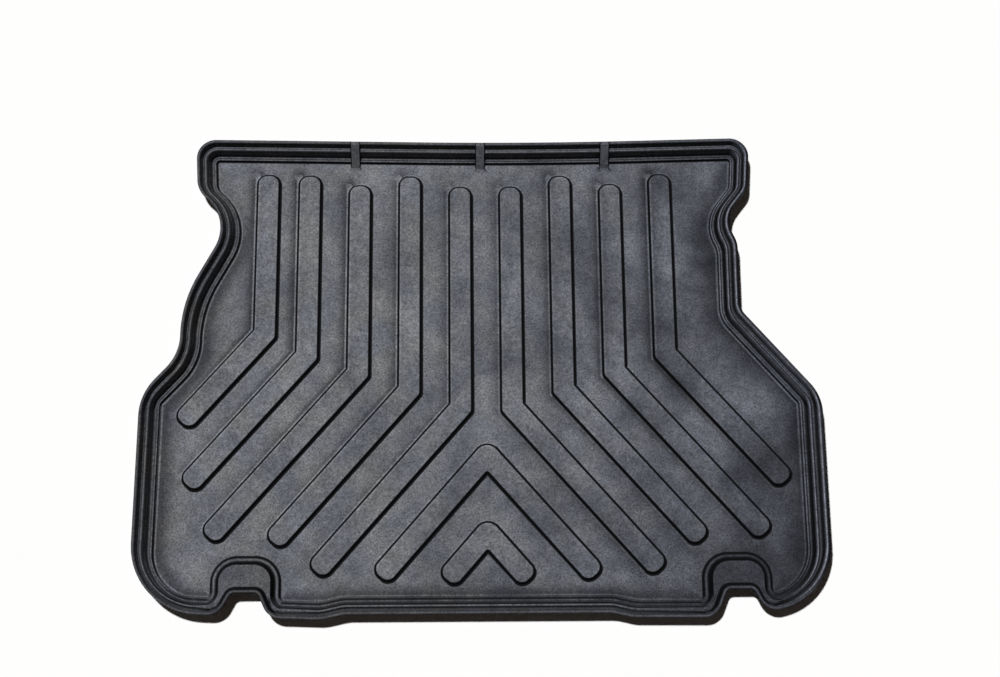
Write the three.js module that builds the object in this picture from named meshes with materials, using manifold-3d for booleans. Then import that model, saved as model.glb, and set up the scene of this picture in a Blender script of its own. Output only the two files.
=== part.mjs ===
// A car boot liner: one moulded rubber tray that covers a boot floor.
// A flat floor carries raised elbowed ribs and two chevrons, a stepped wall of three risers runs all
// round it, three gussets brace the wall's back, and the wall's front goes in around two notches.
// Millimetres, +Z up. +Y is the straight back edge, towards the seats. The origin is under the middle.
import * as THREE from 'three';
import Module from 'manifold-3d';
import { mergeVertices } from 'three/addons/utils/BufferGeometryUtils.js';

const wasm = await Module();
wasm.setup();

// The moulded sheet
const sheet = 3;
const riserSkin = 2.8;
const edgeRound = 0.8;

// The stepped wall, from the floor outward
const riser1 = { height: 3.5, lean: 1.2 };
const tread1 = 7;
const riser2 = { height: 11, lean: 3.5 };
const tread2 = 7;
const riser3 = { height: 8, lean: 2.6 };
const rimWidth = 5.4;
const rimThickness = 4;

// The floor's outline from the ribs' centre line. A corner has its radius at the floor and at the rim and,
// where the wall after it isn't of full width, the share of that width
const backEdge = 358.5;
const bow = { x: 60, depth: 8, radius: 8000 };
const backCorner = { left: -404, right: 372, drop: 1, foot: 5, rim: 28 };
const left = {
  shoulder: { x: -401.5, y: 313, foot: 22, rim: 40, share: 0.87 },
  waist: { x: -345, y: 260.5, foot: 82, rim: 62 },
  flankBack: { x: -418, y: 125.5, foot: 180, rim: 190 },
  flankFront: { x: -418, y: 44, foot: 84, rim: 70 },
  sideBack: { x: -473, y: -16, foot: 10, rim: 80 },
  sideFront: { x: -475.5, y: -290, foot: 63, rim: 100 },
};
const right = {
  sideFront: { x: 455.5, y: -278, foot: 64, rim: 95, share: 1.11 },
  sideBack: { x: 455.5, y: -20.5, foot: 10, rim: 66 },
  flankFront: { x: 346, y: 107, foot: 48, rim: 28 },
  flankBack: { x: 347, y: 213.5, foot: 40, rim: 40 },
  waist: { x: 326.5, y: 257.5, foot: 60, rim: 44, share: 0.9 },
  shoulder: { x: 368.5, y: 311.5, foot: 16, rim: 33, share: 0.92 },
};

// The front edge, which stands out more beside the two places where it goes in
const frontStep = {
  left: { x: -236, y: -301.5, foot: 62, rim: 62 },
  right: { x: 209, y: -303, foot: 58, rim: 58, share: 0.94 },
};
const frontMiddle = {
  left: { x: -204.5, y: -294.5, foot: 60, rim: 60 },
  right: { x: 177, y: -295.5, foot: 58, rim: 58 },
};

// There the lower steps go round an arch and the top riser and rim round a narrower notch
const archCentres = [-342, 353];
const archFeet = [{ left: -294, right: -299 }, { left: -303.5, right: -296 }];
const archWidth = 97;
const archTop = -238;
const archRadius = 36;
const archFootRadius = 6;
const notchCentres = [-341, 353.5];
const notchTopWidth = 47;
const notchMouthWidth = 79.5;
const notchTop = -282.5;
const notchTopRadius = { foot: 16, rim: 9 };
const notchMouthRadius = { foot: 16, rim: 27 };

// The ribs on the floor
const ribHeight = 3.5;
const ribWidth = 33;
const ribDraft = 0.6;
const ribSkin = 2.6;
const ribEndRadius = 14;
const elbowRadius = { inside: 3, outside: 10 };
const chevronRadius = { inside: 2.5, outside: 19 };
const ribSpacing = 75;
const armAngle = THREE.MathUtils.degToRad(41.2);
const elbowFirst = -24;
const elbowRise = 26.5;
const ribTops = [315, 332, 318.5, 334];
const ribEnds = [-248, -206, -198, -123.5];
const outerRib = { x: -324.7, top: 335.5, elbow: 88.5, end: -32 };
const chevrons = [{ apex: -93.5, end: -256 }, { apex: -206, end: -261 }];

// The gussets across the back wall
const gussetWidth = 12.5;
const gussetReach = 7;
const gussetSpacing = 187.5;
const gussetMiddle = -7;

// Sizes of the mesh: how far an arc may stray from its circle, the least straight between two arcs, and
// how far solids run into each other
const arcTolerance = 0.4;
const widestStep = THREE.MathUtils.degToRad(22);
const leastStraight = 0.05;
const overlap = 0.5;

const rubber = new THREE.MeshStandardMaterial({
  name: 'rubber', color: 0x2b2c2f, roughness: 0.62, metalness: 0, flatShading: true,
});

// Levels and widths that follow from the section
const floorTop = sheet;
const tread1Top = floorTop + riser1.height;
const tread2Top = tread1Top + riser2.height;
const rimTop = tread2Top + riser3.height;
const riser2Foot = riser1.lean + tread1;
const riser3Foot = riser2Foot + riser2.lean + tread2;
const wallRun = riser3Foot + riser3.lean + rimWidth;

// Direction of the edge from one corner to the next
function edge(from, to) {
  const length = Math.hypot(to.x - from.x, to.y - from.y);
  return { x: (to.x - from.x) / length, y: (to.y - from.y) / length };
}

// The corners of an anticlockwise outline, with each edge moved outward by its share of a distance
function grow(corners, distance) {
  return corners.map((here, i) => {
    const before = corners[(i + corners.length - 1) % corners.length];
    const after = corners[(i + 1) % corners.length];
    const a = edge(before, here);
    const b = edge(here, after);
    const turn = a.x * b.y - a.y * b.x;
    const along = a.x * b.x + a.y * b.y;
    const moveA = distance * (before.share ?? 1);
    const moveB = distance * (here.share ?? 1);
    if (Math.abs(moveA - moveB) < 1e-9) {
      const scale = moveA / (1 + along);
      return { ...here, x: here.x + (a.y + b.y) * scale, y: here.y - (a.x + b.x) * scale };
    }
    const slide = (moveB - moveA * along) / turn;
    return { ...here, x: here.x + a.y * moveA + a.x * slide, y: here.y - a.x * moveA + a.y * slide };
  });
}

// An outline's points, with each corner rounded; progress says how far the radii are from foot to rim.
// A radius gives way where it and the next one would need more than their edge
function rounded(corners, progress = 0) {
  const bends = corners.map((here, i) => {
    const a = edge(corners[(i + corners.length - 1) % corners.length], here);
    const b = edge(here, corners[(i + 1) % corners.length]);
    const turn = Math.atan2(a.x * b.y - a.y * b.x, a.x * b.x + a.y * b.y);
    const radius = here.foot + (here.rim - here.foot) * progress;
    return { here, a, b, turn, radius, need: radius * Math.abs(Math.tan(turn / 2)) };
  });
  const room = bends.map((bend, i) => {
    const next = bends[(i + 1) % bends.length];
    const length = Math.hypot(next.here.x - bend.here.x, next.here.y - bend.here.y);
    return Math.min(1, (length - leastStraight) / (bend.need + next.need));
  });
  return bends.flatMap(({ here, a, turn, radius, need }, i) => {
    const fit = Math.min(room[i], room[(i + bends.length - 1) % bends.length]);
    const largest = Math.max(here.foot, here.rim, arcTolerance);
    const step = Math.min(widestStep, 2 * Math.acos(1 - arcTolerance / largest));
    const steps = Math.max(2, Math.ceil(Math.abs(turn) / step));
    const side = Math.sign(turn) * radius * fit;
    const back = need * fit;
    const centre = { x: here.x - a.x * back - a.y * side, y: here.y - a.y * back + a.x * side };
    return Array.from({ length: steps + 1 }, (_, k) => {
      const angle = (turn * k) / steps;
      const x = a.y * Math.cos(angle) + a.x * Math.sin(angle);
      const y = a.y * Math.sin(angle) - a.x * Math.cos(angle);
      return new THREE.Vector2(centre.x + x * side, centre.y + y * side);
    });
  });
}

// A closed solid through level outlines of the same number of points, from the lowest up
function loft(levels) {
  const count = levels[0].points.length;
  const positions = levels.flatMap(({ points, z }) => points.flatMap((p) => [p.x, p.y, z]));
  const triangles = [];
  for (const [a, b, c] of THREE.ShapeUtils.triangulateShape(levels[0].points, [])) triangles.push(a, c, b);
  const lid = (levels.length - 1) * count;
  for (const [a, b, c] of THREE.ShapeUtils.triangulateShape(levels.at(-1).points, [])) {
    triangles.push(lid + a, lid + b, lid + c);
  }
  for (let level = 0; level + 1 < levels.length; level += 1) {
    for (let i = 0; i < count; i += 1) {
      const a = level * count + i;
      const b = level * count + ((i + 1) % count);
      triangles.push(a, b, b + count, a, b + count, a + count);
    }
  }
  return new wasm.Manifold(new wasm.Mesh({
    numProp: 3, vertProperties: new Float32Array(positions), triVerts: new Uint32Array(triangles),
  }));
}

// The floor's corners, anticlockwise from the back left, with what the front wall goes in around
function floorCorners(leftGap, rightGap) {
  return [
    { ...backCorner, x: backCorner.left, y: backEdge },
    left.shoulder, left.waist, left.flankBack, left.flankFront, left.sideBack, left.sideFront,
    ...leftGap,
    frontStep.left, frontMiddle.left, frontMiddle.right, frontStep.right,
    ...rightGap,
    right.sideFront, right.sideBack, right.flankFront, right.flankBack, right.waist, right.shoulder,
    { ...backCorner, x: backCorner.right, y: backEdge - backCorner.drop },
    { x: bow.x, y: backEdge - bow.depth, foot: bow.radius, rim: bow.radius },
  ];
}

// The lower steps' corners round an arch, whose feet stand on the front edge
function archCorners(centre, feet) {
  const foot = (x, y) => ({ x, y, foot: archFootRadius, rim: archFootRadius + wallRun });
  const top = (x) => ({ x, y: archTop, foot: archRadius, rim: archRadius - wallRun });
  const start = centre - archWidth / 2;
  const end = centre + archWidth / 2;
  return [foot(start, feet.left), top(start), top(end), foot(end, feet.right)];
}

const arched = floorCorners(
  archCorners(archCentres[0], archFeet[0]),
  archCorners(archCentres[1], archFeet[1]),
);

function lowerOutline(run) {
  return rounded(grow(arched, run), run / wallRun);
}

// The top riser's corners round a notch, at that riser's foot
function notchCorners(centre, feet) {
  const mouth = (x, y) => ({ x, y: y - riser3Foot, ...notchMouthRadius });
  const top = (x) => ({ x, y: notchTop, ...notchTopRadius });
  return [
    mouth(centre - notchMouthWidth / 2, feet.left),
    top(centre - notchTopWidth / 2),
    top(centre + notchTopWidth / 2),
    mouth(centre + notchMouthWidth / 2, feet.right),
  ];
}

// The outline of the top riser's foot, first without its notches
const plain = grow(floorCorners([], []), riser3Foot).map((c) => {
  const radiusThere = c.foot + ((c.rim - c.foot) * riser3Foot) / wallRun;
  return { ...c, foot: radiusThere };
});
const leftFront = plain.findIndex((c) => c.y < archTop) + 1;
const rightFront = plain.findLastIndex((c) => c.y < archTop);
const notched = [
  ...plain.slice(0, leftFront),
  ...notchCorners(notchCentres[0], archFeet[0]),
  ...plain.slice(leftFront, rightFront),
  ...notchCorners(notchCentres[1], archFeet[1]),
  ...plain.slice(rightFront),
];

function upperOutline(run) {
  return rounded(grow(notched, run - riser3Foot), (run - riser3Foot) / (wallRun - riser3Foot));
}

// One riser as a solid that widens upward, run on into what lies above it
function riserSolid(outline, foot, run, riser, round) {
  const slope = riser.lean / riser.height;
  const levels = [{ points: outline(run), z: foot }];
  if (round > 0) {
    const straight = riser.height - round;
    levels.push({ points: outline(run + straight * slope), z: foot + straight });
    levels.push({ points: outline(run + riser.lean + round), z: foot + riser.height + round / 2 });
  } else {
    const height = riser.height + overlap;
    levels.push({ points: outline(run + height * slope), z: foot + height });
  }
  return loft(levels);
}

const cavity = riserSolid(lowerOutline, floorTop, 0, riser1, edgeRound)
  .add(riserSolid(lowerOutline, tread1Top, riser2Foot, riser2, edgeRound))
  .add(riserSolid(upperOutline, tread2Top, riser3Foot, riser3, edgeRound));

const rim = loft([
  { points: upperOutline(wallRun), z: rimTop - rimThickness },
  { points: upperOutline(wallRun), z: rimTop - edgeRound },
  { points: upperOutline(wallRun - edgeRound), z: rimTop },
]);
const body = riserSolid(lowerOutline, 0, riserSkin, riser1, 0)
  .add(riserSolid(lowerOutline, riser1.height, riser2Foot + riserSkin, riser2, 0))
  .add(riserSolid(upperOutline, riser1.height + riser2.height, riser3Foot + riserSkin, riser3, 0))
  .add(rim);

// A rib's corners from its centre line's three points, anticlockwise, with round ends; towards the
// centre line a corner that points out gets sharper and one that points in gets rounder
function ribCorners(start, bend, end, bendRadius) {
  const half = ribWidth / 2;
  const a = edge(start, bend);
  const b = edge(bend, end);
  const mitre = half / (1 + a.x * b.x + a.y * b.y);
  const turnsLeft = a.x * b.y - a.y * b.x > 0;
  const endAt = (p, d, side) => ({
    x: p.x - d.y * half * side, y: p.y + d.x * half * side, foot: ribEndRadius, rim: ribEndRadius - half,
  });
  const bendAt = (side) => {
    const inside = turnsLeft === side > 0;
    const radius = inside ? bendRadius.inside : bendRadius.outside;
    const x = bend.x - (a.y + b.y) * mitre * side;
    const y = bend.y + (a.x + b.x) * mitre * side;
    return { x, y, foot: radius, rim: inside ? radius + half : Math.max(radius - half, 0) };
  };
  const right = [endAt(start, a, -1), bendAt(-1), endAt(end, b, -1)];
  const left = [endAt(end, b, 1), bendAt(1), endAt(start, a, 1)];
  return [...right, ...left];
}

function ribOutline(corners, inset) {
  return rounded(grow(corners, -inset), (2 * inset) / ribWidth);
}

// The point where a rib's arm ends, when the centre of its round end is at the height endY on the floor
function armEnd(bend, endY, side) {
  const run = (bend.y - endY) / Math.cos(armAngle) + ribWidth / 2;
  return { x: bend.x + side * run * Math.sin(armAngle), y: bend.y - run * Math.cos(armAngle) };
}

// Every rib on the floor: mirrored pairs, one more on the left, and the chevrons
const ribs = [];
for (const side of [-1, 1]) {
  ribTops.forEach((top, k) => {
    const bend = { x: side * ribSpacing * (k + 0.5), y: elbowFirst + elbowRise * k };
    ribs.push(ribCorners({ x: bend.x, y: top }, bend, armEnd(bend, ribEnds[k], side), elbowRadius));
  });
}
const outerTop = { x: outerRib.x, y: outerRib.top };
const outerBend = { x: outerRib.x, y: outerRib.elbow };
ribs.push(ribCorners(outerTop, outerBend, armEnd(outerBend, outerRib.end, -1), elbowRadius));
for (const { apex, end } of chevrons) {
  const bend = { x: 0, y: apex };
  ribs.push(ribCorners(armEnd(bend, end, -1), bend, armEnd(bend, end, 1), chevronRadius));
}

// A rib stands on the floor, and the sheet follows it, so it is hollow below
function ribSolid(corners) {
  const top = floorTop + ribHeight;
  return loft([
    { points: ribOutline(corners, -ribDraft / 2), z: floorTop - overlap },
    { points: ribOutline(corners, ribDraft / 2), z: top - edgeRound },
    { points: ribOutline(corners, ribDraft / 2 + edgeRound), z: top },
  ]);
}

function ribHollow(corners) {
  return loft([
    { points: ribOutline(corners, ribSkin - ribDraft / 2), z: -overlap },
    { points: ribOutline(corners, ribSkin + ribDraft / 2), z: ribHeight },
  ]);
}

// How far back the floor reaches at a gusset
function backEdgeAt(x) {
  const end = x < bow.x ? backCorner.left : backCorner.right;
  return THREE.MathUtils.lerp(backEdge - bow.depth, backEdge, (x - bow.x) / (end - bow.x));
}

// A gusset slopes from the rim's inner edge down to the floor
function gusset(x) {
  const wall = backEdgeAt(x);
  const inner = wallRun - rimWidth;
  const slope = (rimTop - floorTop) / (inner + gussetReach);
  const profile = new THREE.Shape([
    new THREE.Vector2(wall - gussetReach - overlap / slope, floorTop - overlap),
    new THREE.Vector2(wall + wallRun, floorTop - overlap),
    new THREE.Vector2(wall + wallRun, rimTop),
    new THREE.Vector2(wall + inner, rimTop),
  ]);
  const prism = new THREE.ExtrudeGeometry(profile, { depth: gussetWidth, bevelEnabled: false });
  const across = new THREE.Matrix4().makeBasis(
    new THREE.Vector3(0, 1, 0), new THREE.Vector3(0, 0, 1), new THREE.Vector3(1, 0, 0),
  );
  prism.applyMatrix4(across).translate(x - gussetWidth / 2, 0, 0);
  prism.deleteAttribute('normal');
  prism.deleteAttribute('uv');
  const merged = mergeVertices(prism);
  return new wasm.Manifold(new wasm.Mesh({
    numProp: 3,
    vertProperties: merged.attributes.position.array,
    triVerts: new Uint32Array(merged.index.array),
  }));
}

// The cavity leaves the ribs and gussets standing, and is then taken out of the body
let hollow = cavity;
for (const rib of ribs) hollow = hollow.subtract(ribSolid(rib));
for (const place of [-1, 0, 1]) hollow = hollow.subtract(gusset(gussetMiddle + place * gussetSpacing));
let tray = body.subtract(hollow);
for (const rib of ribs) tray = tray.subtract(ribHollow(rib));

const moulded = tray.getMesh();
const geometry = new THREE.BufferGeometry();
geometry.setAttribute('position', new THREE.BufferAttribute(moulded.vertProperties, 3));
geometry.setIndex(new THREE.BufferAttribute(moulded.triVerts, 1));

// The frame: the middle of the rim's outline, at the floor's underside
geometry.computeBoundingBox();
const box = geometry.boundingBox;
geometry.translate(-(box.min.x + box.max.x) / 2, -(box.min.y + box.max.y) / 2, -box.min.z);

const liner = new THREE.Mesh(geometry, rubber);
liner.name = 'boot_liner';

const car_boot_liner = new THREE.Group();
car_boot_liner.add(liner);

export default car_boot_liner;
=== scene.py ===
"""A car boot liner on a pale studio floor: one moulded rubber tray with a stepped wall and raised ribs."""
import math

import bmesh
import bpy
import numpy as np
from mathutils import Matrix, Vector
from mathutils.geometry import delaunay_2d_cdt


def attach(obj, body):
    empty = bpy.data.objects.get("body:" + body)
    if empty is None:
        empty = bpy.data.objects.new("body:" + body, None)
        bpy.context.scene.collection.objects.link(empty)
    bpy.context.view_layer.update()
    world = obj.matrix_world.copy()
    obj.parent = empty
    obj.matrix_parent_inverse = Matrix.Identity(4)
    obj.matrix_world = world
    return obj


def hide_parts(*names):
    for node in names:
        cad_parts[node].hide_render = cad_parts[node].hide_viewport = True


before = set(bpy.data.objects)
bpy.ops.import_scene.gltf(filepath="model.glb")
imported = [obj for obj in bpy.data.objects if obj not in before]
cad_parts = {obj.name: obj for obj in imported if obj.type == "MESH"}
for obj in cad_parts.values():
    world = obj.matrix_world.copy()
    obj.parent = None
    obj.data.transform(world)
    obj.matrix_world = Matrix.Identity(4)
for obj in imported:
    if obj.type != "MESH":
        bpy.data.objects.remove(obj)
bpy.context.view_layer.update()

# The camera
# The liner was photographed from standing height, a little in front of it and steeply from above, with
# a short telephoto lens.
MM = 0.001
camera_place = Vector((-0.0105, -0.5493, 2.2896))
looking = Vector((0.01653, 0.25437, -0.96696)).normalized()
upright = Vector((0.00623, 0.96705, 0.25450)).normalized()

camera_data = bpy.data.cameras.new("camera")
camera_data.lens = 57.91
camera_data.sensor_width = 36.0
camera = bpy.data.objects.new("camera", camera_data)
sideways = looking.cross(upright).normalized()
turned = Matrix((sideways, sideways.cross(looking), -looking)).transposed().to_4x4()
camera.matrix_world = Matrix.Translation(camera_place) @ turned
bpy.context.scene.collection.objects.link(camera)
bpy.context.scene.camera = camera

# The stepped wall
# Three risers with two treads between them run all round the floor and end in a flat rim. The rubber is
# pressed in a steel mould, so every edge has a small radius and the wall leans out to let the tray leave.
SHEET = 3.0
FLOOR_TOP = SHEET
RISERS = np.array([(3.5, 1.2), (11.0, 3.5), (8.0, 2.6)])
TREAD = 7.0
RIM_WIDTH, RIM_THICKNESS = 5.4, 4.0
RISER_SKIN = 2.8
EDGE_RADIUS, FOOT_RADIUS = 0.9, 0.7

heights = FLOOR_TOP + np.cumsum(RISERS[:, 0])
riser_feet = np.concatenate([[0.0], np.cumsum(RISERS[:2, 1] + TREAD)])
riser_tops = riser_feet + RISERS[:, 1]
UPPER_FOOT = riser_feet[2]
WALL_RUN = riser_tops[2] + RIM_WIDTH

# The floor's outline in millimetres from the ribs' centre line, anticlockwise: place, radius at the
# floor, radius at the rim, and the share of the wall's width that the next edge takes
BACK, BOW_DEPTH, BOW_X, BOW_RADIUS = 358.5, 8.0, 60.0, 8000.0
BACK_LEFT, BACK_RIGHT, BACK_DROP = -404.0, 372.0, 1.0
LEFT_SIDE = [
    (BACK_LEFT, BACK, 5, 28, 1),
    (-401.5, 313, 22, 40, 0.87),
    (-345, 260.5, 82, 62, 1),
    (-418, 125.5, 180, 190, 1),
    (-418, 44, 84, 70, 1),
    (-473, -16, 10, 80, 1),
    (-475.5, -290, 63, 100, 1),
]
FRONT = [
    (-236, -301.5, 62, 62, 1),
    (-204.5, -294.5, 60, 60, 1),
    (177, -295.5, 58, 58, 1),
    (209, -303, 58, 58, 0.94),
]
RIGHT_SIDE = [
    (455.5, -278, 64, 95, 1.11),
    (455.5, -20.5, 10, 66, 1),
    (346, 107, 48, 28, 1),
    (347, 213.5, 40, 40, 1),
    (326.5, 257.5, 60, 44, 0.9),
    (368.5, 311.5, 16, 33, 0.92),
    (BACK_RIGHT, BACK - BACK_DROP, 5, 28, 1),
]
BOW = [(BOW_X, BACK - BOW_DEPTH, BOW_RADIUS, BOW_RADIUS, 1)]

# Where the front wall goes in, the lower steps go round an arch and the top riser round a notch
ARCH_CENTRES, ARCH_FEET = (-342.0, 353.0), ((-294.0, -299.0), (-303.5, -296.0))
ARCH_WIDTH, ARCH_TOP, ARCH_RADIUS, ARCH_FOOT_RADIUS = 97.0, -238.0, 36.0, 6.0
NOTCH_CENTRES = (-341.0, 353.5)
NOTCH_TOP_WIDTH, NOTCH_MOUTH_WIDTH, NOTCH_TOP = 47.0, 79.5, -282.5
NOTCH_TOP_RADII, NOTCH_MOUTH_RADII = (16, 9), (16, 27)
ARC_STEPS, LEAST_RADIUS = 20, 0.05


def directions(places):
    """The unit direction of the edge before each corner and of the edge after it."""
    ahead = np.roll(places, -1, axis=0) - places
    ahead /= np.linalg.norm(ahead, axis=1)[:, None]
    return np.roll(ahead, 1, axis=0), ahead


def grown(corners, distance):
    """Each edge moves outward by its share of the distance, and a corner goes where its edges now meet."""
    before, after = directions(corners[:, :2])
    move_after = distance * corners[:, 4]
    move_before = np.roll(move_after, 1)
    across = before[:, 0] * after[:, 1] - before[:, 1] * after[:, 0]
    along = (before * after).sum(axis=1)
    slide = (move_after - move_before * along) / across
    moved = corners.copy()
    moved[:, 0] += before[:, 1] * move_before + before[:, 0] * slide
    moved[:, 1] += -before[:, 0] * move_before + before[:, 1] * slide
    return moved


def rounded(corners, radii, steps=ARC_STEPS):
    """The arc of each corner: its centre, and the normals turned evenly from one edge to the next."""
    before, after = directions(corners[:, :2])
    turn = np.arctan2(
        before[:, 0] * after[:, 1] - before[:, 1] * after[:, 0], (before * after).sum(axis=1)
    )
    back = (radii * np.abs(np.tan(turn / 2)))[:, None]
    side = (np.sign(turn) * radii)[:, None]
    inward = np.stack([-before[:, 1], before[:, 0]], axis=1)
    centres = corners[:, :2] - before * back + inward * side
    angles = turn[:, None] * np.linspace(0, 1, steps + 1)
    reach = np.cos(angles)[..., None] * -inward[:, None] + np.sin(angles)[..., None] * before[:, None]
    return centres[:, None] + reach * side[:, None]


def back_edge(x):
    """The floor's back edge: two straight lines from the back corners, joined by an arc of BOW_RADIUS."""
    left_slope = -BOW_DEPTH / (BOW_X - BACK_LEFT)
    right_slope = (BOW_DEPTH - BACK_DROP) / (BACK_RIGHT - BOW_X)
    half = BOW_RADIUS * (right_slope - left_slope) / 2
    bent = np.clip(x - BOW_X + half, 0, 2 * half)
    beyond = np.maximum(x - BOW_X - half, 0)
    straight = BACK + left_slope * (x - BACK_LEFT)
    return straight + bent**2 / (2 * BOW_RADIUS) + beyond * (right_slope - left_slope)


def arch(side):
    """The four corners of an arch, from its left foot to its right one."""
    centre, (left_foot, right_foot) = ARCH_CENTRES[side], ARCH_FEET[side]
    foot = (ARCH_FOOT_RADIUS, ARCH_FOOT_RADIUS + WALL_RUN, 1)
    top = (ARCH_RADIUS, ARCH_RADIUS - WALL_RUN, 1)
    left, right = centre - ARCH_WIDTH / 2, centre + ARCH_WIDTH / 2
    return [
        (left, left_foot, *foot),
        (left, ARCH_TOP, *top),
        (right, ARCH_TOP, *top),
        (right, right_foot, *foot),
    ]


def notch(side):
    """The four corners of a notch at the foot of the top riser, from its left mouth to its right one."""
    centre, (left_foot, right_foot) = NOTCH_CENTRES[side], ARCH_FEET[side]
    mouth, top = NOTCH_MOUTH_WIDTH / 2, NOTCH_TOP_WIDTH / 2
    return [
        (centre - mouth, left_foot - UPPER_FOOT, *NOTCH_MOUTH_RADII, 1),
        (centre - top, NOTCH_TOP, *NOTCH_TOP_RADII, 1),
        (centre + top, NOTCH_TOP, *NOTCH_TOP_RADII, 1),
        (centre + mouth, right_foot - UPPER_FOOT, *NOTCH_MOUTH_RADII, 1),
    ]


def ring(corners, run, full_run, back_run, back_columns):
    """A level line of the wall: every corner's arc but the bow's, then the back edge at fixed places."""
    places = grown(corners, run)
    radii = np.maximum(corners[:, 2] + (corners[:, 3] - corners[:, 2]) * run / full_run, LEAST_RADIUS)
    arcs = rounded(places, radii)[:-1].reshape(-1, 2)
    back = np.stack([back_columns, back_edge(back_columns) + back_run], axis=1)
    return np.concatenate([arcs, back])


# The gussets across the back wall
# Three narrow ramps, moulded with the wall, brace it: each falls from the rim's inner edge to a foot on
# the floor. The wall's section changes to the ramp's over about a millimetre at each of their sides.
GUSSET_WIDTH, GUSSET_REACH = 12.5, 7.0
GUSSET_MIDDLE, GUSSET_SPACING = -7.0, 187.5
GUSSET_CENTRES = GUSSET_MIDDLE + GUSSET_SPACING * np.array([1, 0, -1])

# Columns at a gusset's side: how far out from it, the blend to the ramp, the share of the wall's bloom and
# sheen that stays beside it, less where painted shade lies next to the ramp, and the ramp's bloom and sheen
GUSSET_SIDE = np.array([1.8, 1.2, 0.35, 0.2, 0.05, -0.15, -0.45, -0.8])
GUSSET_BLEND = np.array([0.0, 0.0, 0.0, 0.45, 0.86, 0.96, 0.99, 1.0])
WALL_UNSHADED_BESIDE = np.array([1.0, 0.15, 0.0, 0.0, 0.0, 0.0, 0.0, 0.0])
GUSSET_BLOOM_AND_SHEEN = np.array([0.0, 0.0, 0.0, 0.0, 0.0, 0.0, 0.45, 0.56])

# The back wall's other columns
BACK_COLUMN_STEP, BACK_COLUMNS_END = 12.0, 8.0

half_gusset = GUSSET_WIDTH / 2 + GUSSET_SIDE
gusset_places = np.concatenate([half_gusset, [0.0], -half_gusset[::-1]])
gusset_blend = np.concatenate([GUSSET_BLEND, [1.0], GUSSET_BLEND[::-1]])
beside_gusset = np.concatenate([WALL_UNSHADED_BESIDE, [0.0], WALL_UNSHADED_BESIDE[::-1]])
gusset_bloom_and_sheen = np.concatenate([GUSSET_BLOOM_AND_SHEEN, GUSSET_BLOOM_AND_SHEEN[-1:], GUSSET_BLOOM_AND_SHEEN[::-1]])
plain_columns = np.arange(BACK_RIGHT - BACK_COLUMN_STEP, BACK_LEFT + BACK_COLUMNS_END, -BACK_COLUMN_STEP)
near_gusset = np.abs(plain_columns[:, None] - GUSSET_CENTRES).min(axis=1) < GUSSET_WIDTH
plain_columns = plain_columns[~near_gusset]
back_columns = np.concatenate([plain_columns] + [c + gusset_places for c in GUSSET_CENTRES])
column_blend = np.concatenate([0 * plain_columns] + [gusset_blend] * len(GUSSET_CENTRES))
wall_unshaded = np.concatenate([0 * plain_columns + 1] + [beside_gusset] * len(GUSSET_CENTRES))
ramp_bloom_and_sheen = np.concatenate([0 * plain_columns] + [gusset_bloom_and_sheen] * len(GUSSET_CENTRES))
order = np.argsort(-back_columns)
back_columns, column_blend = back_columns[order], column_blend[order]
wall_unshaded, ramp_bloom_and_sheen = wall_unshaded[order], ramp_bloom_and_sheen[order]

lower = np.array(LEFT_SIDE + arch(0) + FRONT + arch(1) + RIGHT_SIDE + BOW, dtype=float)
plain = np.array(LEFT_SIDE + FRONT + RIGHT_SIDE + BOW, dtype=float)
plain_upper = grown(plain, UPPER_FOOT)
plain_upper[:, 2] += (plain[:, 3] - plain[:, 2]) * UPPER_FOOT / WALL_RUN
first, second = len(LEFT_SIDE), len(LEFT_SIDE) + len(FRONT)
upper = np.concatenate(
    [plain_upper[:first], notch(0), plain_upper[first:second], notch(1), plain_upper[second:]]
)

lower_rings = [ring(lower, run, WALL_RUN, run, back_columns) for run in (0.0, WALL_RUN)]
upper_rings = [
    ring(upper, run, WALL_RUN - UPPER_FOOT, run + UPPER_FOOT, back_columns)
    for run in (0.0, WALL_RUN - UPPER_FOOT)
]

# The wall's section, from the floor's top out over the steps, round the rim and back underneath: the run
# out from the floor's edge, the height, the corner's radius, and whether it belongs to the top riser
OPEN_END = 30.0
RIM_UNDERSIDE_FROM = 23.78
section = np.array([
    (-OPEN_END, FLOOR_TOP, 0, 0),
    (riser_feet[0], FLOOR_TOP, FOOT_RADIUS, 0),
    (riser_tops[0], heights[0], EDGE_RADIUS, 0),
    (riser_feet[1], heights[0], FOOT_RADIUS, 0),
    (riser_tops[1], heights[1], EDGE_RADIUS, 0),
    (riser_feet[2], heights[1], FOOT_RADIUS, 1),
    (riser_tops[2], heights[2], EDGE_RADIUS, 1),
    (WALL_RUN, heights[2], EDGE_RADIUS, 1),
    (WALL_RUN, heights[2] - RIM_THICKNESS, EDGE_RADIUS, 1),
    (RIM_UNDERSIDE_FROM, heights[2] - RIM_THICKNESS, FOOT_RADIUS, 1),
    (riser_feet[2] + RISER_SKIN, heights[1] - SHEET, EDGE_RADIUS, 1),
    (riser_tops[1] + RISER_SKIN, heights[1] - SHEET, FOOT_RADIUS, 0),
    (riser_feet[1] + RISER_SKIN, heights[0] - SHEET, EDGE_RADIUS, 0),
    (riser_tops[0] + RISER_SKIN, heights[0] - SHEET, FOOT_RADIUS, 0),
    (riser_feet[0] + RISER_SKIN, 0, EDGE_RADIUS, 0),
    (-OPEN_END, 0, 0, 0),
])
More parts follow.
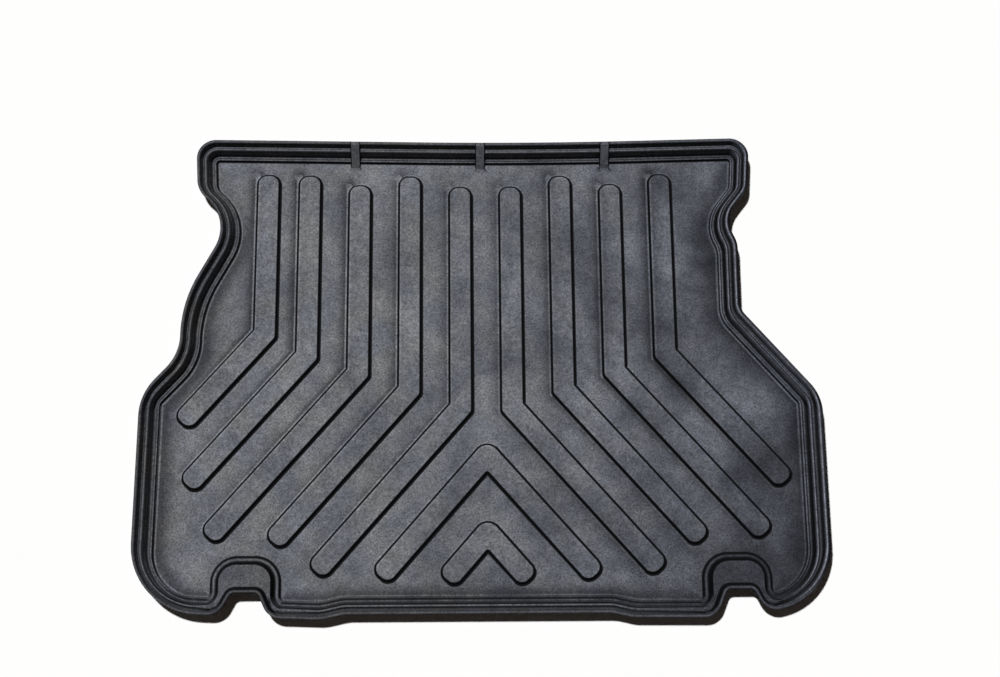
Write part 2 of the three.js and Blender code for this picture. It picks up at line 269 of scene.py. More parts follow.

# A grey of bloom and painted sheen lies on the floor and stops short of the wall's foot, leaving painted
# shade there; on the wall it lies only in lines of painted highlight and sheen along its steps: each line's
# place out from the floor's edge, its half width, and how much grey there is, for the wall's four sides and
# the arches
FLOOR_BLOOM_AND_SHEEN_ENDS = {"left": -2.3, "back": -1.8, "right": -1.4, "front": -0.3, "arch": -1.9}
STEP_HIGHLIGHT_LINES = {
    "left": [(1.6, 0.9, 0.75), (3.2, 1.3, 0.20), (5.2, 1.1, 0.55), (10.0, 1.3, 0.80), (15.1, 1.2, 0.66),
             (18.1, 0.9, 0.30), (19.9, 0.8, 0.60), (24.7, 1.6, 0.50)],
    "back": [(2.2, 0.8, 0.85), (4.0, 1.2, 0.12), (5.6, 0.8, 0.70), (10.0, 1.3, 0.80), (14.6, 1.0, 0.80),
             (17.5, 0.9, 0.66), (19.9, 0.8, 0.60), (24.3, 1.6, 0.58)],
    "right": [(1.3, 0.7, 1.90), (4.6, 0.9, 1.10), (11.4, 0.7, 1.50), (15.3, 1.1, 0.34), (21.6, 1.1, 1.30)],
    "front": [(1.2, 1.6, 0.40), (6.6, 1.1, 0.56), (9.3, 1.5, 0.18), (14.4, 0.9, 0.82), (20.2, 1.8, 0.32),
              (24.9, 1.8, 0.46)],
    "arch": [(3.9, 1.6, 0.75), (24.3, 1.4, 0.42)],
}
FLOOR_END_SOFTNESS = 0.8

# The rows that carry the lines: on the floor, the two treads and the rim, and as shares of a riser
FLAT_ROWS = np.concatenate([
    np.arange(-5.0, 0.0, 0.75),
    np.arange(2.2, 7.9, 0.75),
    np.arange(12.7, 18.2, 0.75),
    np.arange(22.5, 25.8, 0.8),
])
RISER_ROWS = (0.35, 0.7)
ROW_CLEARANCE, LEVEL_WITHIN = 0.15, 0.01

# Behind an arch the upper tread is a wide shelf, with a grey of bloom and painted sheen of its own that is
# weaker on the right
SHELF_FROM, SHELF_RAMP = 1.5, 4.0
SHELF_BLOOM_AND_SHEEN = np.array([
    (12.0, 0.0), (12.6, 0.4), (13.3, 0.6), (14.2, 0.5), (16.5, 0.5), (17.5, 0.05), (18.0, 0.0),
])
SHELF_ON_RIGHT = 0.45
SECTION_STEPS = 4
UNDERSIDE_STEPS = 2
UNDERSIDE_BLOOM = 0.3


def wall_rows():
    """The arcs of the section's corners, and between the upper ones the rows that carry the lines of painted
    highlight and sheen.
    """
    upper_corners = 1 + int(np.argmax(section[:, 0]))
    found = []
    for number in range(1, len(section) - 1):
        on_top = number <= upper_corners
        steps = SECTION_STEPS if on_top else UNDERSIDE_STEPS
        arc = rounded(section, section[:, 2], steps)[number]
        before = np.array(found[-1][:2]) if found else np.array([-OPEN_END, FLOOR_TOP])
        if on_top and abs(section[number, 1] - section[number - 1, 1]) < LEVEL_WITHIN:
            clear = (FLAT_ROWS > before[0] + ROW_CLEARANCE) & (FLAT_ROWS < arc[0, 0] - ROW_CLEARANCE)
            for run in FLAT_ROWS[clear]:
                goes_with_upper = section[number, 3] and run > UPPER_FOOT - TREAD / 2
                found.append((run, arc[0, 1], goes_with_upper, 1))
        elif on_top and number < upper_corners:
            places = before + (arc[0] - before) * np.array(RISER_ROWS)[:, None]
            found += [(run, z, section[number, 3], 1) for run, z in places]
        found += [(run, z, section[number, 3], on_top) for run, z in arc]
    return np.array(found, dtype=float)


all_rows = wall_rows()
rows, row_is_upper, row_is_top = all_rows[:, :2], all_rows[:, 2].astype(bool), all_rows[:, 3].astype(bool)

# The ramp that a row goes to where a gusset stands: its nearest place on the ramp's straight line
ramp_foot = np.array([riser_feet[0] - GUSSET_REACH, FLOOR_TOP])
ramp_top = np.array([riser_tops[2], heights[2]])
ramp = (ramp_top - ramp_foot) / np.linalg.norm(ramp_top - ramp_foot)
ramp_rows = ramp_foot + np.maximum((rows - ramp_foot) @ ramp, 0)[:, None] * ramp
ramp_rows[0] = ramp_foot
past_ramp = rows[:, 0] > ramp_top[0]
ramp_rows = np.where((row_is_top & ~past_ramp)[:, None], ramp_rows, rows)


def wall_points():
    """Rows of the section by columns of the outline, in millimetres.

    A point goes from its inner ring to its outer one in a straight line as its row's run grows, and by
    the gusset's blend from the section's place to the ramp's.
    """
    blend = np.zeros(len(lower_rings[0]))
    blend[-len(column_blend):] = column_blend
    mixed = rows[:, None] + (ramp_rows - rows)[:, None] * blend[None, :, None]
    run = mixed[..., 0][..., None]
    on_lower = lower_rings[0] + (lower_rings[1] - lower_rings[0]) * run / WALL_RUN
    upper_share = (run - UPPER_FOOT) / (WALL_RUN - UPPER_FOOT)
    on_upper = upper_rings[0] + (upper_rings[1] - upper_rings[0]) * upper_share
    flat = np.where(row_is_upper[:, None, None], on_upper, on_lower)
    return np.concatenate([flat, mixed[..., 1:]], axis=2)


wall = wall_points()

# How far each column belongs to an arch: its feet's arcs pass from the plain wall to it
grows = np.linspace(0, 1, ARC_STEPS + 1)
arch_share = np.zeros(wall.shape[1])
for first_corner in (first, first + len(arch(0)) + len(FRONT)):
    arc_start = first_corner * len(grows)
    its_share = np.concatenate([grows, np.ones(2 * len(grows)), grows[::-1]])
    arch_share[arc_start:arc_start + len(its_share)] = its_share


def wall_bloom_and_sheen():
    """The floor's bloom and painted sheen up to its end, and a bell curve of painted highlight and sheen for
    each line, mixed by where a column's wall faces.

    A side's share is the square of the outward direction's part to that side. An arch has lines of its own,
    as have the wide shelf that the upper tread is there, and the gussets, with painted shade on the wall
    beside a gusset.
    """
    out_lower, out_upper = lower_rings[1] - lower_rings[0], upper_rings[1] - upper_rings[0]
    out = np.where(row_is_upper[:, None, None], out_upper, out_lower)
    out /= np.linalg.norm(out, axis=2)[..., None]
    towards = {"left": -out[..., 0], "right": out[..., 0], "front": -out[..., 1], "back": out[..., 1]}
    run = rows[:, 0]
    bloom_and_sheen = np.zeros(out.shape[:2])
    for side, its_lines in STEP_HIGHLIGHT_LINES.items():
        its_bloom_and_sheen = np.clip((FLOOR_BLOOM_AND_SHEEN_ENDS[side] - run) / FLOOR_END_SOFTNESS + 0.5, 0, 1)
        for place, half_width, strength in its_lines:
            its_bloom_and_sheen += strength * np.exp(-((run - place) / half_width) ** 2)
        if side == "arch":
            bloom_and_sheen += (its_bloom_and_sheen[:, None] - bloom_and_sheen) * arch_share
        else:
            bloom_and_sheen += np.maximum(towards[side], 0) ** 2 * its_bloom_and_sheen[:, None]
    last_lower = np.flatnonzero(row_is_top & ~row_is_upper).max()
    shelf_width = np.linalg.norm(wall[last_lower + 1, :, :2] - wall[last_lower, :, :2], axis=1)
    on_shelf = np.clip((shelf_width - SHELF_FROM) / SHELF_RAMP, 0, 1)
    on_this_arch = np.where(wall[last_lower, :, 0] > 0, SHELF_ON_RIGHT, 1.0)
    shelf_bloom_and_sheen = np.interp(run, SHELF_BLOOM_AND_SHEEN[:, 0], SHELF_BLOOM_AND_SHEEN[:, 1])[:, None] * on_this_arch
    by_shelf = ((run > riser_tops[1]) & (run < riser_tops[2]))[:, None]
    bloom_and_sheen = np.where(by_shelf, bloom_and_sheen + (shelf_bloom_and_sheen - bloom_and_sheen) * on_shelf, bloom_and_sheen)
    back = slice(-len(back_columns), None)
    bloom_and_sheen[:, back] = bloom_and_sheen[:, back] * wall_unshaded + ramp_bloom_and_sheen
    return np.where(row_is_top[:, None], bloom_and_sheen, UNDERSIDE_BLOOM)


def strip_faces(row_count, column_count, first_vertex=0):
    """Quads between each row of closed columns and the next one."""
    row, column = np.meshgrid(np.arange(row_count - 1), np.arange(column_count), indexing="ij")
    here = row * column_count + column
    beside = row * column_count + (column + 1) % column_count
    quads = np.stack([here, here + column_count, beside + column_count, beside], axis=-1)
    return quads.reshape(-1, 4) + first_vertex


# The ribs on the floor
# Raised strips, each with a straight part that runs to the back and an arm that turns off at an elbow,
# and two chevrons in the middle of the front. The sheet follows them, so they are hollow underneath.
RIB_HEIGHT, RIB_WIDTH, RIB_DRAFT, RIB_SKIN = 3.5, 33.0, 0.6, 2.6
RIB_END_RADIUS = 14.0
ELBOW_RADII, CHEVRON_RADII = (3.0, 10.0), (2.5, 19.0)
RIB_SPACING, ARM_ANGLE = 75.0, math.radians(41.2)
ELBOW_FIRST, ELBOW_RISE = -24.0, 26.5
RIB_TOPS, RIB_ENDS = (315.0, 332.0, 318.5, 334.0), (-248.0, -206.0, -198.0, -123.5)
OUTER_RIB = {"x": -324.7, "top": 335.5, "elbow": 88.5, "end": -32.0}
CHEVRONS = ((-93.5, -256.0), (-206.0, -261.0))


def arm_end(bend, end_y, side):
    """Where an arm's centre line ends, when its round end's centre is at the height end_y."""
    length = (bend[1] - end_y) / math.cos(ARM_ANGLE) + RIB_WIDTH / 2
    return np.array([bend[0] + side * length * math.sin(ARM_ANGLE), bend[1] - length * math.cos(ARM_ANGLE)])


def rib_corners(start, bend, end, bend_radii):
    """Six corners round a bent centre line: down its right side, then up its left side.

    The last value is the radius that a corner has on the centre line: a corner that points out gets
    sharper towards it, and one that points in gets rounder.
    """
    half = RIB_WIDTH / 2
    a = (bend - start) / np.linalg.norm(bend - start)
    b = (end - bend) / np.linalg.norm(end - bend)
    left_a, left_b = np.array([-a[1], a[0]]), np.array([-b[1], b[0]])
    mitre = (left_a + left_b) * half / (1 + a @ b)
    turns_left = a[0] * b[1] - a[1] * b[0] > 0
    inside, outside = bend_radii
    tight, wide = (inside, inside + half), (outside, max(outside - half, 0.0))
    end_radii = (RIB_END_RADIUS, RIB_END_RADIUS - half)
    left_radii, right_radii = (tight, wide) if turns_left else (wide, tight)
    return np.array([
        (*(start - left_a * half), *end_radii, 1),
        (*(bend - mitre), *right_radii, 1),
        (*(end - left_b * half), *end_radii, 1),
        (*(end + left_b * half), *end_radii, 1),
        (*(bend + mitre), *left_radii, 1),
        (*(start + left_a * half), *end_radii, 1),
    ])


ribs = []
for side in (-1, 1):
    for number, (top, end) in enumerate(zip(RIB_TOPS, RIB_ENDS)):
        bend = np.array([side * RIB_SPACING * (number + 0.5), ELBOW_FIRST + ELBOW_RISE * number])
        start = np.array([bend[0], top])
        ribs.append(rib_corners(start, bend, arm_end(bend, end, side), ELBOW_RADII))
outer_bend = np.array([OUTER_RIB["x"], OUTER_RIB["elbow"]])
outer_start = np.array([OUTER_RIB["x"], OUTER_RIB["top"]])
ribs.append(rib_corners(outer_start, outer_bend, arm_end(outer_bend, OUTER_RIB["end"], -1), ELBOW_RADII))
for apex, end in CHEVRONS:
    bend = np.array([0.0, apex])
    ribs.append(rib_corners(arm_end(bend, end, -1), bend, arm_end(bend, end, 1), CHEVRON_RADII))

# A rib's section, from the floor's top over its edge, and the hollow's below, from the underside up
RIB_EDGE_RADIUS, RIB_FOOT_RADIUS = 0.9, 0.6
rib_section = np.array([
    (OPEN_END, FLOOR_TOP, 0),
    (RIB_DRAFT / 2, FLOOR_TOP, RIB_FOOT_RADIUS),
    (-RIB_DRAFT / 2, FLOOR_TOP + RIB_HEIGHT, RIB_EDGE_RADIUS),
    (-OPEN_END, FLOOR_TOP + RIB_HEIGHT, 0),
])
hollow_section = np.array([
    (OPEN_END, 0, 0),
    (-RIB_SKIN + RIB_DRAFT / 2, 0, RIB_FOOT_RADIUS),
    (-RIB_SKIN - RIB_DRAFT / 2, RIB_HEIGHT, RIB_FOOT_RADIUS),
    (-OPEN_END, RIB_HEIGHT, 0),
])
RIB_ARC_STEPS = 12
RUNGS = 5
LADDER = np.linspace(0, 1, RUNGS + 2)[1:-1]
LAND_ROWS = (6.2, 5.0, 4.2, 3.5, 2.9, 2.3, 1.8, 1.3)
TOP_ROWS = (-1.5, -2.0, -2.5, -3.1, -4.0, -6.0)

# A rib's side stays black, and a band past each of its edges is painted shade, wider on a side that faces
# away from the lamp: how far on the land and on the top goes by how much the side faces TO_LIGHT, roughly the
# way to the lamp in plan, from -1 for away from it. A line of painted highlight follows, brighter on a side
# that faces the lamp.
TO_LIGHT = np.array([-0.51, 0.86])
LAND_EDGE = ((-1.0, -0.5, -0.2, 0.2, 0.5), (4.1, 3.4, 2.3, 2.2, 1.7))
TOP_EDGE, TOP_EDGE_LESS = 1.9, 0.3
EDGE_SOFTNESS = 0.5
LINE_PAST_EDGE, LINE_HALF_WIDTH, LINE_AT_LEAST = 1.1, 0.9, 0.15
LINE_ON_LAND, LINE_ON_TOP = 0.4, 0.3


def rib_points(corners, its_section, land_rows=(), top_rows=(), steps=SECTION_STEPS):
    """Rows of a rib's section by columns of its outline, in millimetres, and each row's run.

    A row is the outline moved out by its run, and its corners' radii grow by the same share.
    """
    arcs = rounded(its_section, its_section[:, 2], steps)[1:-1].reshape(-1, 2)
    its_rows = [(run, arcs[0, 1]) for run in land_rows] + arcs.tolist()
    its_rows += [(run, arcs[-1, 1]) for run in top_rows]
    half = RIB_WIDTH / 2
    lines = []
    for run, z in its_rows:
        radii = np.maximum(corners[:, 2] + (corners[:, 3] - corners[:, 2]) * -run / half, LEAST_RADIUS)
        line = rounded(grown(corners, run), radii, RIB_ARC_STEPS).reshape(-1, 2)
        lines.append(np.column_stack([line, np.full(len(line), z)]))
    return np.array(lines), np.array([run for run, _ in its_rows])


def rib_bloom_shade_and_highlight(lines, runs):
    """None on a rib's side and, as painted shade, as far beyond it as its edges say, then the plain bloom and
    sheen.

    Just past that edge a bell curve of painted highlight makes it brighter, by how much the side faces the
    light.
    """
    out = (lines[0] - lines[-1])[:, :2]
    facing = (out / np.linalg.norm(out, axis=1)[:, None]) @ TO_LIGHT
    run = runs[:, None]
    land_edge = np.interp(facing, *LAND_EDGE)
    top_edge = TOP_EDGE - TOP_EDGE_LESS * facing
    past = np.where(run > 0, run - land_edge, -run - top_edge)
    line = np.exp(-((past - LINE_PAST_EDGE) / LINE_HALF_WIDTH) ** 2) * (LINE_AT_LEAST + np.maximum(facing, 0))
    brighter = 1 + line * np.where(run > 0, LINE_ON_LAND, LINE_ON_TOP)
    return np.clip(past / EDGE_SOFTNESS + 0.5, 0, 1) * brighter


def ladder(line, first_vertex):
    """Fills a rib's last line with quads: rungs at even shares from its right side to its left side."""
    half = len(line) // 2
    right, left = line[:half], line[half:][::-1]
    rungs = right + (left - right) * LADDER[:, None, None]
    numbers = np.concatenate([
        np.arange(half)[None],
        len(line) + np.arange(rungs.shape[0] * half).reshape(-1, half),
        (len(line) - 1 - np.arange(half))[None],
    ]) + first_vertex
    quads = np.stack([numbers[:-1, :-1], numbers[:-1, 1:], numbers[1:, 1:], numbers[1:, :-1]], axis=-1)
    return rungs.reshape(-1, 3), quads.reshape(-1, 4)


# The floor between the wall and the ribs
# A flat sheet, above and below: triangles between the wall's first line and the ribs' lines, with a
# grid of points between them.
TOP_GRID, UNDERSIDE_GRID = 7.0, 24.0
PARTS = 60
MERGE_WITHIN = 1e-6


def gaps_to(places, starts, ends):
    """The distance of every place from every line segment, from the nearest point between its two ends."""
    along = ends - starts
    from_start = places[:, None] - starts
    share = np.clip((from_start * along).sum(axis=2) / (along**2).sum(axis=1), 0, 1)
    return np.linalg.norm(from_start - share[..., None] * along, axis=2)


def sheet_between(outer, holes, z, grid_step):
    """The triangles of a flat region with holes, on the given lines and a grid of points between them."""
    lines = [outer] + holes
    ends = np.cumsum([len(line) for line in lines])
    loops = [list(range(end - len(line), end)) for end, line in zip(ends, lines)]
    low, high = outer.min(axis=0), outer.max(axis=0)
    x, y = np.meshgrid(np.arange(low[0], high[0], grid_step), np.arange(low[1], high[1], grid_step))
    grid = np.column_stack([x.ravel(), y.ravel()])
    edges = np.concatenate(lines)
    after = np.concatenate([np.roll(line, -1, axis=0) for line in lines])
    nearest = np.concatenate([
        gaps_to(part, edges, after).min(axis=1) for part in np.array_split(grid, PARTS)
    ])
    grid = grid[nearest > grid_step / 2]
    points = [Vector(p) for p in np.concatenate([edges, grid])]
    places, _, faces, _, _, sources = delaunay_2d_cdt(points, [], loops, 0, MERGE_WITHIN, True)
    kept = [face for face, source in zip(faces, sources) if source == [0]]
    flat = np.array([tuple(p) for p in places])
    return np.column_stack([flat, np.full(len(flat), z)]), kept


# The liner, one mesh of all these surfaces, moved to the middle of its rim as the frame has it
vertices, bloom_and_sheen_parts, faces = [wall.reshape(-1, 3)], [wall_bloom_and_sheen().ravel()], strip_faces(*wall.shape[:2]).tolist()
count = len(vertices[0])
first_lines = {True: [], False: []}
for corners in ribs:
    for above in (True, False):
        if above:
            lines, runs = rib_points(corners, rib_section, LAND_ROWS, TOP_ROWS)
        else:
            lines, runs = rib_points(corners, hollow_section, steps=UNDERSIDE_STEPS)
        first_lines[above].append(lines[0, :, :2])
        rungs, top_faces = ladder(lines[-1], count + lines.shape[0] * lines.shape[1] - lines.shape[1])
        its_faces = np.concatenate([strip_faces(*lines.shape[:2], count), top_faces])
        vertices += [lines.reshape(-1, 3), rungs]
        bloom_and_sheen = rib_bloom_shade_and_highlight(lines, runs) if above else np.full(lines.shape[:2], UNDERSIDE_BLOOM)
        bloom_and_sheen_parts += [bloom_and_sheen.ravel(), np.full(len(rungs), 1.0 if above else UNDERSIDE_BLOOM)]
        faces += its_faces.tolist()
        count += lines.shape[0] * lines.shape[1] + len(rungs)
for edge_row, above, z, grid_step in (
    (wall[0], True, FLOOR_TOP, TOP_GRID), (wall[-1], False, 0.0, UNDERSIDE_GRID)
):
    sheet_points, sheet_faces = sheet_between(edge_row[:, :2], first_lines[above], z, grid_step)
    vertices.append(sheet_points)
    sheet_bloom_and_sheen = np.full(len(sheet_points), 1.0 if above else UNDERSIDE_BLOOM)
    if above:
        sheet_bloom_and_sheen[:wall.shape[1]] = bloom_and_sheen_parts[0][:wall.shape[1]]
    bloom_and_sheen_parts.append(sheet_bloom_and_sheen)
    faces += [[number + count for number in face] for face in sheet_faces]
    count += len(sheet_points)

points = np.concatenate(vertices)

# Painted shade: the bloom and sheen are darker in soft zones, beside the wall by the side that it stands on,
# and beside the ribs with an elbow. A fade says how a side's share changes along it: places, then shares.
ZONE_START, ZONE_RAMP, ZONE_REACH = 2.9, 1.8, 11
SIDE_FACING = 1.3
LEFT_SHARE, RIGHT_SHARE, FRONT_SHARE, BACK_SHARE = 0.73, 0.83, 0.67, -0.08
LEFT_FADE = ((200, 280), (1, 0.45))
RIGHT_FADE = ((-280, -150, 100, 260), (0.6, 1, 1, 0.75))
BACK_FADE = ((-100, 100), (1, 0))
LESS_AT_ARCH = 0.7
MORE_REACH_LEFT, MORE_REACH_RIGHT = 9, 15
WALL_POWER, LESS_POWER_RIGHT = 4, 2
RIB_POWER, ARM_REACH = 3, 13
FARTHEST_RIB = 330.0
LAND_SHARE, LAND_SHARE_FAR, LAND_FAR_GROWTH = 0.45, 0.35, 1.5
TOP_SHARE_RIGHT, TOP_SHARE_LEFT = 0.65, 0.15
ARM_TOP_SHARE, ARM_SHARE_RIGHT, ARM_SHARE_LEFT = 0.15, 0.33, 0.25


def zone(gap, start, share, reach, power):
    """What a soft zone of painted shade takes: its share, from its start up over a ramp, over 1 + (gap /
    reach) ** power.
    """
    return share * np.clip((gap - start) / ZONE_RAMP, 0, 1) / (1 + (gap / reach) ** power)


def painted_shade_zones(places, heights_there):
    """How much of the bloom and sheen is left under the painted shade: the product, over the wall and the
    ribs, of 1 less what a zone takes.
    """
    left = np.ones(len(places))
    foot = lower_rings[0]
    out = lower_rings[1] - lower_rings[0]
    out /= np.linalg.norm(out, axis=1)[:, None]
    on_left = np.clip(-SIDE_FACING * out[:, 0], 0, 1)
    on_right = np.clip(SIDE_FACING * out[:, 0], 0, 1)
    on_front = np.maximum(-out[:, 1], 0) * (1 - on_left) * (1 - on_right)
    on_back = np.maximum(out[:, 1], 0) * (1 - on_left) * (1 - on_right)
    on_left *= np.interp(foot[:, 1], *LEFT_FADE)
    on_right *= np.interp(foot[:, 1], *RIGHT_FADE)
    on_back *= np.interp(foot[:, 0], *BACK_FADE)
    share = LEFT_SHARE * on_left + RIGHT_SHARE * on_right + FRONT_SHARE * on_front
    share = share * (1 - LESS_AT_ARCH * arch_share) + BACK_SHARE * on_back
    start = ZONE_START * (1 - on_front) * (1 - arch_share)
    reach = ZONE_REACH + MORE_REACH_LEFT * on_left + MORE_REACH_RIGHT * on_right
    power = WALL_POWER - LESS_POWER_RIGHT * on_right
    for part in np.array_split(np.arange(len(places)), PARTS):
        gap = gaps_to(places[part], foot, np.roll(foot, -1, axis=0))
        nearest = gap.argmin(axis=1)
        near_gap = gap[np.arange(len(part)), nearest]
        left[part] *= 1 - zone(near_gap, start[nearest], share[nearest], reach[nearest], power[nearest])
    tops = heights_there > FLOOR_TOP + RIB_HEIGHT / 2
    for corners in ribs[:-len(CHEVRONS)]:
        far, on_the_right = abs(corners[0, 0]) / FARTHEST_RIB, corners[0, 0] > 0
        gaps = gaps_to(places, corners[:2, :2], corners[1:3, :2])
        land_share = LAND_SHARE + LAND_SHARE_FAR * min(1, far * LAND_FAR_GROWTH)
        top_share = far * (TOP_SHARE_RIGHT if on_the_right else TOP_SHARE_LEFT)
        beside = zone(gaps[:, 0], ZONE_START, np.where(tops, top_share, land_share), ZONE_REACH, RIB_POWER)
        arm_share = ARM_SHARE_RIGHT if on_the_right else ARM_SHARE_LEFT
        arm_share = np.where(tops, ARM_TOP_SHARE, arm_share)
        beside_arm = zone(gaps[:, 1], ZONE_START, arm_share, ARM_REACH, RIB_POWER)
        left *= 1 - np.maximum(beside, beside_arm)
    return left


bloom_and_sheen = np.concatenate(bloom_and_sheen_parts)
in_zones = bloom_and_sheen != UNDERSIDE_BLOOM
in_zones[:wall[..., 0].size] = np.repeat((rows[:, 0] < 0) & row_is_top, wall.shape[1])
# The soft zones darken the bloom and sheen on the floor, the ribs and the wall's foot: painted shade
bloom_and_sheen[in_zones] *= painted_shade_zones(points[in_zones, :2], points[in_zones, 2])
middle = (wall.min(axis=(0, 1)) + wall.max(axis=(0, 1))) / 2
points[:, :2] -= middle[:2]

liner_mesh = bpy.data.meshes.new("liner")
liner_mesh.from_pydata((points * MM).tolist(), [], faces)
liner_mesh.attributes.new("bloom_and_sheen", "FLOAT", "POINT").data.foreach_set("value", bloom_and_sheen)
WELD_DISTANCE = 2e-6
SHARP_FROM = math.radians(35)
welded = bmesh.new()
welded.from_mesh(liner_mesh)
bmesh.ops.remove_doubles(welded, verts=welded.verts, dist=WELD_DISTANCE)
bmesh.ops.delete(welded, geom=[v for v in welded.verts if not v.link_faces], context="VERTS")
bmesh.ops.recalc_face_normals(welded, faces=welded.faces)
welded.to_mesh(liner_mesh)
welded.free()
liner_mesh.shade_smooth()
liner_mesh.set_sharp_from_angle(angle=SHARP_FROM)
liner = bpy.data.objects.new("liner", liner_mesh)
bpy.context.scene.collection.objects.link(liner)
evened = liner.modifiers.new("evened", "WEIGHTED_NORMAL")
evened.keep_sharp = True
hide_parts("boot_liner")
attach(liner, "root")


# The rubber
# Black rubber, pressed in a mould whose finely etched face gives it a dull grain. The floor and the ribs are
# grey with bloom and painted sheen, blotchy and darker towards the right and the front. On the steps the grey
# lies only in lines of painted highlight and sheen along them, and what is between the lines stays black.
def linear(hex_colour):
    """An sRGB hex colour as linear RGBA, by the sRGB curve: a straight foot, then the power 2.4."""
    parts = [int(hex_colour[i:i + 2], 16) / 255 for i in (0, 2, 4)]
    return [*(p / 12.92 if p <= 0.04045 else ((p + 0.055) / 1.055) ** 2.4 for p in parts), 1.0]


def node(tree, kind, settings=None, inputs=None):
    """Adds a node, sets its settings, and sets or links its inputs by name or number."""
    made = tree.nodes.new(kind)
    for name, value in (settings or {}).items():
        setattr(made, name, value)
    for name, value in (inputs or {}).items():
        if isinstance(value, bpy.types.NodeSocket):
            tree.links.new(value, made.inputs[name])
        else:
            made.inputs[name].default_value = value
    return made


BLACK_RUBBER, BLUE_GREY_BLOOM_AND_SHEEN, GREY_BLOOM_AND_SHEEN = "08080a", "707481", "78797b"
rubber = bpy.data.materials.new("moulded_rubber")
rubber.use_nodes = True
tree = rubber.node_tree
shader = tree.nodes["Principled BSDF"]
shader.inputs["Roughness"].default_value = 0.7
shader.inputs["Specular IOR Level"].default_value = 0.04
places_on_it = node(tree, "ShaderNodeTexCoord").outputs["Object"]
across, along, height = node(tree, "ShaderNodeSeparateXYZ", inputs={0: places_on_it}).outputs
lying = node(tree, "ShaderNodeAttribute", {"attribute_name": "bloom_and_sheen"}).outputs["Fac"]

# Each noise: its blotches in millimetres, detail and roughness. The mould's grain is about a tenth of a
# millimetre across, too fine to show, so grain and skin are drawn coarser.
NOISES = {
    "patches": (120, 3, 0.55),
    "hues": (60, 2, 0.5),
    "large clouds": (24, 2, 0.5),
    "small clouds": (8, 2, 0.5),
    "grain": (2.6, 3, 0.8),
    "skin": (1.6, 3, 0.6),
}
noises = {
    name: node(tree, "ShaderNodeTexNoise", inputs={
        "Vector": places_on_it, "Scale": 1 / (size * MM), "Detail": detail, "Roughness": roughness,
    }).outputs["Fac"]
    for name, (size, detail, roughness) in NOISES.items()
}

# Each amount goes from one value to another as its source goes from low to high, and stops there
AMOUNTS = {
    "floor alone": (height, 0.0066, 0.0070, 1.0, 0.0),
    "right": (across, -0.10, 0.45, 0.0, 0.22),
    "front": (along, -0.10, -0.28, 0.0, 0.36),
    "front by side": (across, -0.05, 0.35, 0.1, 1.0),
    "corner from left": (across, 0.28, 0.40, 0.0, 0.20),
    "corner from back": (along, -0.06, -0.20, 0.0, 1.0),
    "patches": (noises["patches"], 0.35, 0.65, 1.0, 0.0),
    "patches by side": (across, -0.40, 0.40, 0.22, 0.60),
    "large clouds": (noises["large clouds"], 0.30, 0.70, 0.86, 1.14),
    "small clouds": (noises["small clouds"], 0.30, 0.70, 0.86, 1.14),
    "grain": (noises["grain"], 0.27, 0.73, 0.25, 1.75),
    "hues": (noises["hues"], 0.38, 0.62, 0.4, 1.0),
    "hues by side": (across, -0.1, 0.4, 1.0, 0.3),
}
amounts = {
    name: node(tree, "ShaderNodeMapRange", inputs={
        "Value": source, "From Min": low, "From Max": high, "To Min": at_low, "To Max": at_high,
    }).outputs["Result"]
    for name, (source, low, high, at_low, at_high) in AMOUNTS.items()
}

# The bloom and painted sheen are uneven on the floor: each of these takes the product of its amounts from
# them
bloom_and_sheen_here = lying
for names in (
    ("right",),
    ("front", "front by side"),
    ("corner from left", "corner from back"),
    ("patches", "patches by side"),
):
    taken = amounts["floor alone"]
    for name in names:
        factors = {0: taken, 1: amounts[name]}
        taken = node(tree, "ShaderNodeMath", {"operation": "MULTIPLY"}, factors).outputs[0]
    kept = node(tree, "ShaderNodeMath", {"operation": "MULTIPLY_ADD"}, {0: taken, 1: -1.0, 2: 1.0}).outputs[0]
    bloom_and_sheen_here = node(tree, "ShaderNodeMath", {"operation": "MULTIPLY"}, {0: bloom_and_sheen_here, 1: kept}).outputs[0]
for name in ("large clouds", "small clouds", "grain"):
    factors = {0: bloom_and_sheen_here, 1: amounts[name]}
    bloom_and_sheen_here = node(tree, "ShaderNodeMath", {"operation": "MULTIPLY"}, factors).outputs[0]

factors = {0: amounts["hues"], 1: amounts["hues by side"]}
hue = node(tree, "ShaderNodeMath", {"operation": "MULTIPLY"}, factors).outputs[0]
tint = node(tree, "ShaderNodeMix", {"data_type": "RGBA"}, {
    0: hue, 6: linear(BLUE_GREY_BLOOM_AND_SHEEN), 7: linear(GREY_BLOOM_AND_SHEEN),
}).outputs[2]
colour = node(tree, "ShaderNodeMix", {"data_type": "RGBA", "clamp_factor": False}, {
    0: bloom_and_sheen_here, 6: linear(BLACK_RUBBER), 7: tint,
}).outputs[2]
tree.links.new(colour, shader.inputs["Base Color"])
skin = node(tree, "ShaderNodeBump", inputs={"Strength": 0.5, "Distance": 0.2 * MM, "Height": noises["skin"]})
tree.links.new(skin.outputs["Normal"], shader.inputs["Normal"])
liner_mesh.materials.append(rubber)

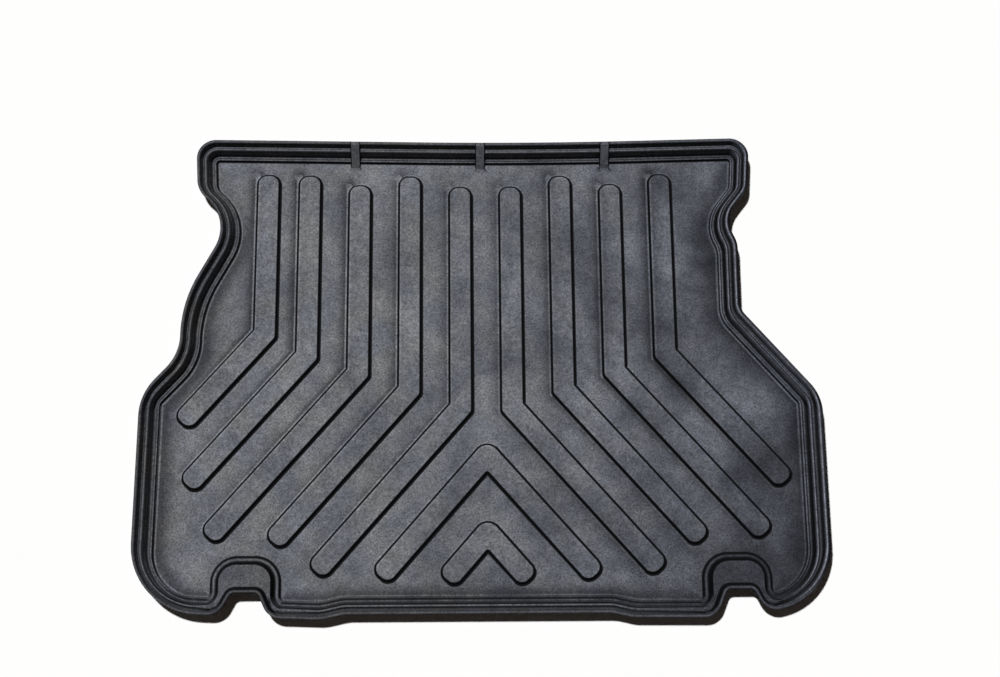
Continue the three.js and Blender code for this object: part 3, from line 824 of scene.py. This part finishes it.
# The studio
# A sheet of matt white paper, one distant lamp above and behind on the left, and a dim warm room whose
# walls are white to the eye.
FLOOR_SIZE = 12.0
floor_mesh = bpy.data.meshes.new("studio_floor")
corner = FLOOR_SIZE / 2
floor_places = [(-corner, -corner, 0), (corner, -corner, 0), (corner, corner, 0), (-corner, corner, 0)]
floor_mesh.from_pydata(floor_places, [], [(0, 1, 2, 3)])
floor = bpy.data.objects.new("studio_floor", floor_mesh)
bpy.context.scene.collection.objects.link(floor)
paper = bpy.data.materials.new("pale_paper")
paper.use_nodes = True
paper_shader = paper.node_tree.nodes["Principled BSDF"]
paper_shader.inputs["Base Color"].default_value = linear("fdfdfd")
paper_shader.inputs["Roughness"].default_value = 0.9
paper_shader.inputs["Specular IOR Level"].default_value = 0.0
floor_mesh.materials.append(paper)

# The lamp is of a strength at which paper lying flat renders about as its colour is written
LIGHT_FROM = Vector((-0.28, 0.39, 1.0))
KEY_STRENGTH, KEY_ANGLE = 3.45, math.radians(4)
key_data = bpy.data.lights.new("key", "SUN")
key_data.energy = KEY_STRENGTH
key_data.angle = KEY_ANGLE
key = bpy.data.objects.new("key", key_data)
key.location = LIGHT_FROM
key.rotation_euler = (-LIGHT_FROM).to_track_quat("-Z", "Y").to_euler()
bpy.context.scene.collection.objects.link(key)

ROOM_COLOUR, ROOM_STRENGTH = (1.0, 0.76, 0.54, 1.0), 0.022
world = bpy.data.worlds.new("room")
world.use_nodes = True
room = world.node_tree
room_light = room.nodes["Background"]
room_light.inputs["Color"].default_value = ROOM_COLOUR
room_light.inputs["Strength"].default_value = ROOM_STRENGTH
backdrop = node(room, "ShaderNodeBackground", inputs={"Color": linear("ffffff"), "Strength": 1.0})
rays = node(room, "ShaderNodeLightPath").outputs
shows_white = rays["Is Camera Ray"]
for kind in ("Is Glossy Ray", "Is Transmission Ray"):
    either = {0: shows_white, 1: rays[kind]}
    shows_white = node(room, "ShaderNodeMath", {"operation": "MAXIMUM"}, either).outputs[0]
mixed = node(room, "ShaderNodeMixShader", inputs={
    0: shows_white, 1: room_light.outputs["Background"], 2: backdrop.outputs["Background"],
})
room.links.new(mixed.outputs["Shader"], room.nodes["World Output"].inputs["Surface"])
bpy.context.scene.world = world

bpy.context.scene.view_settings.view_transform = "Standard"
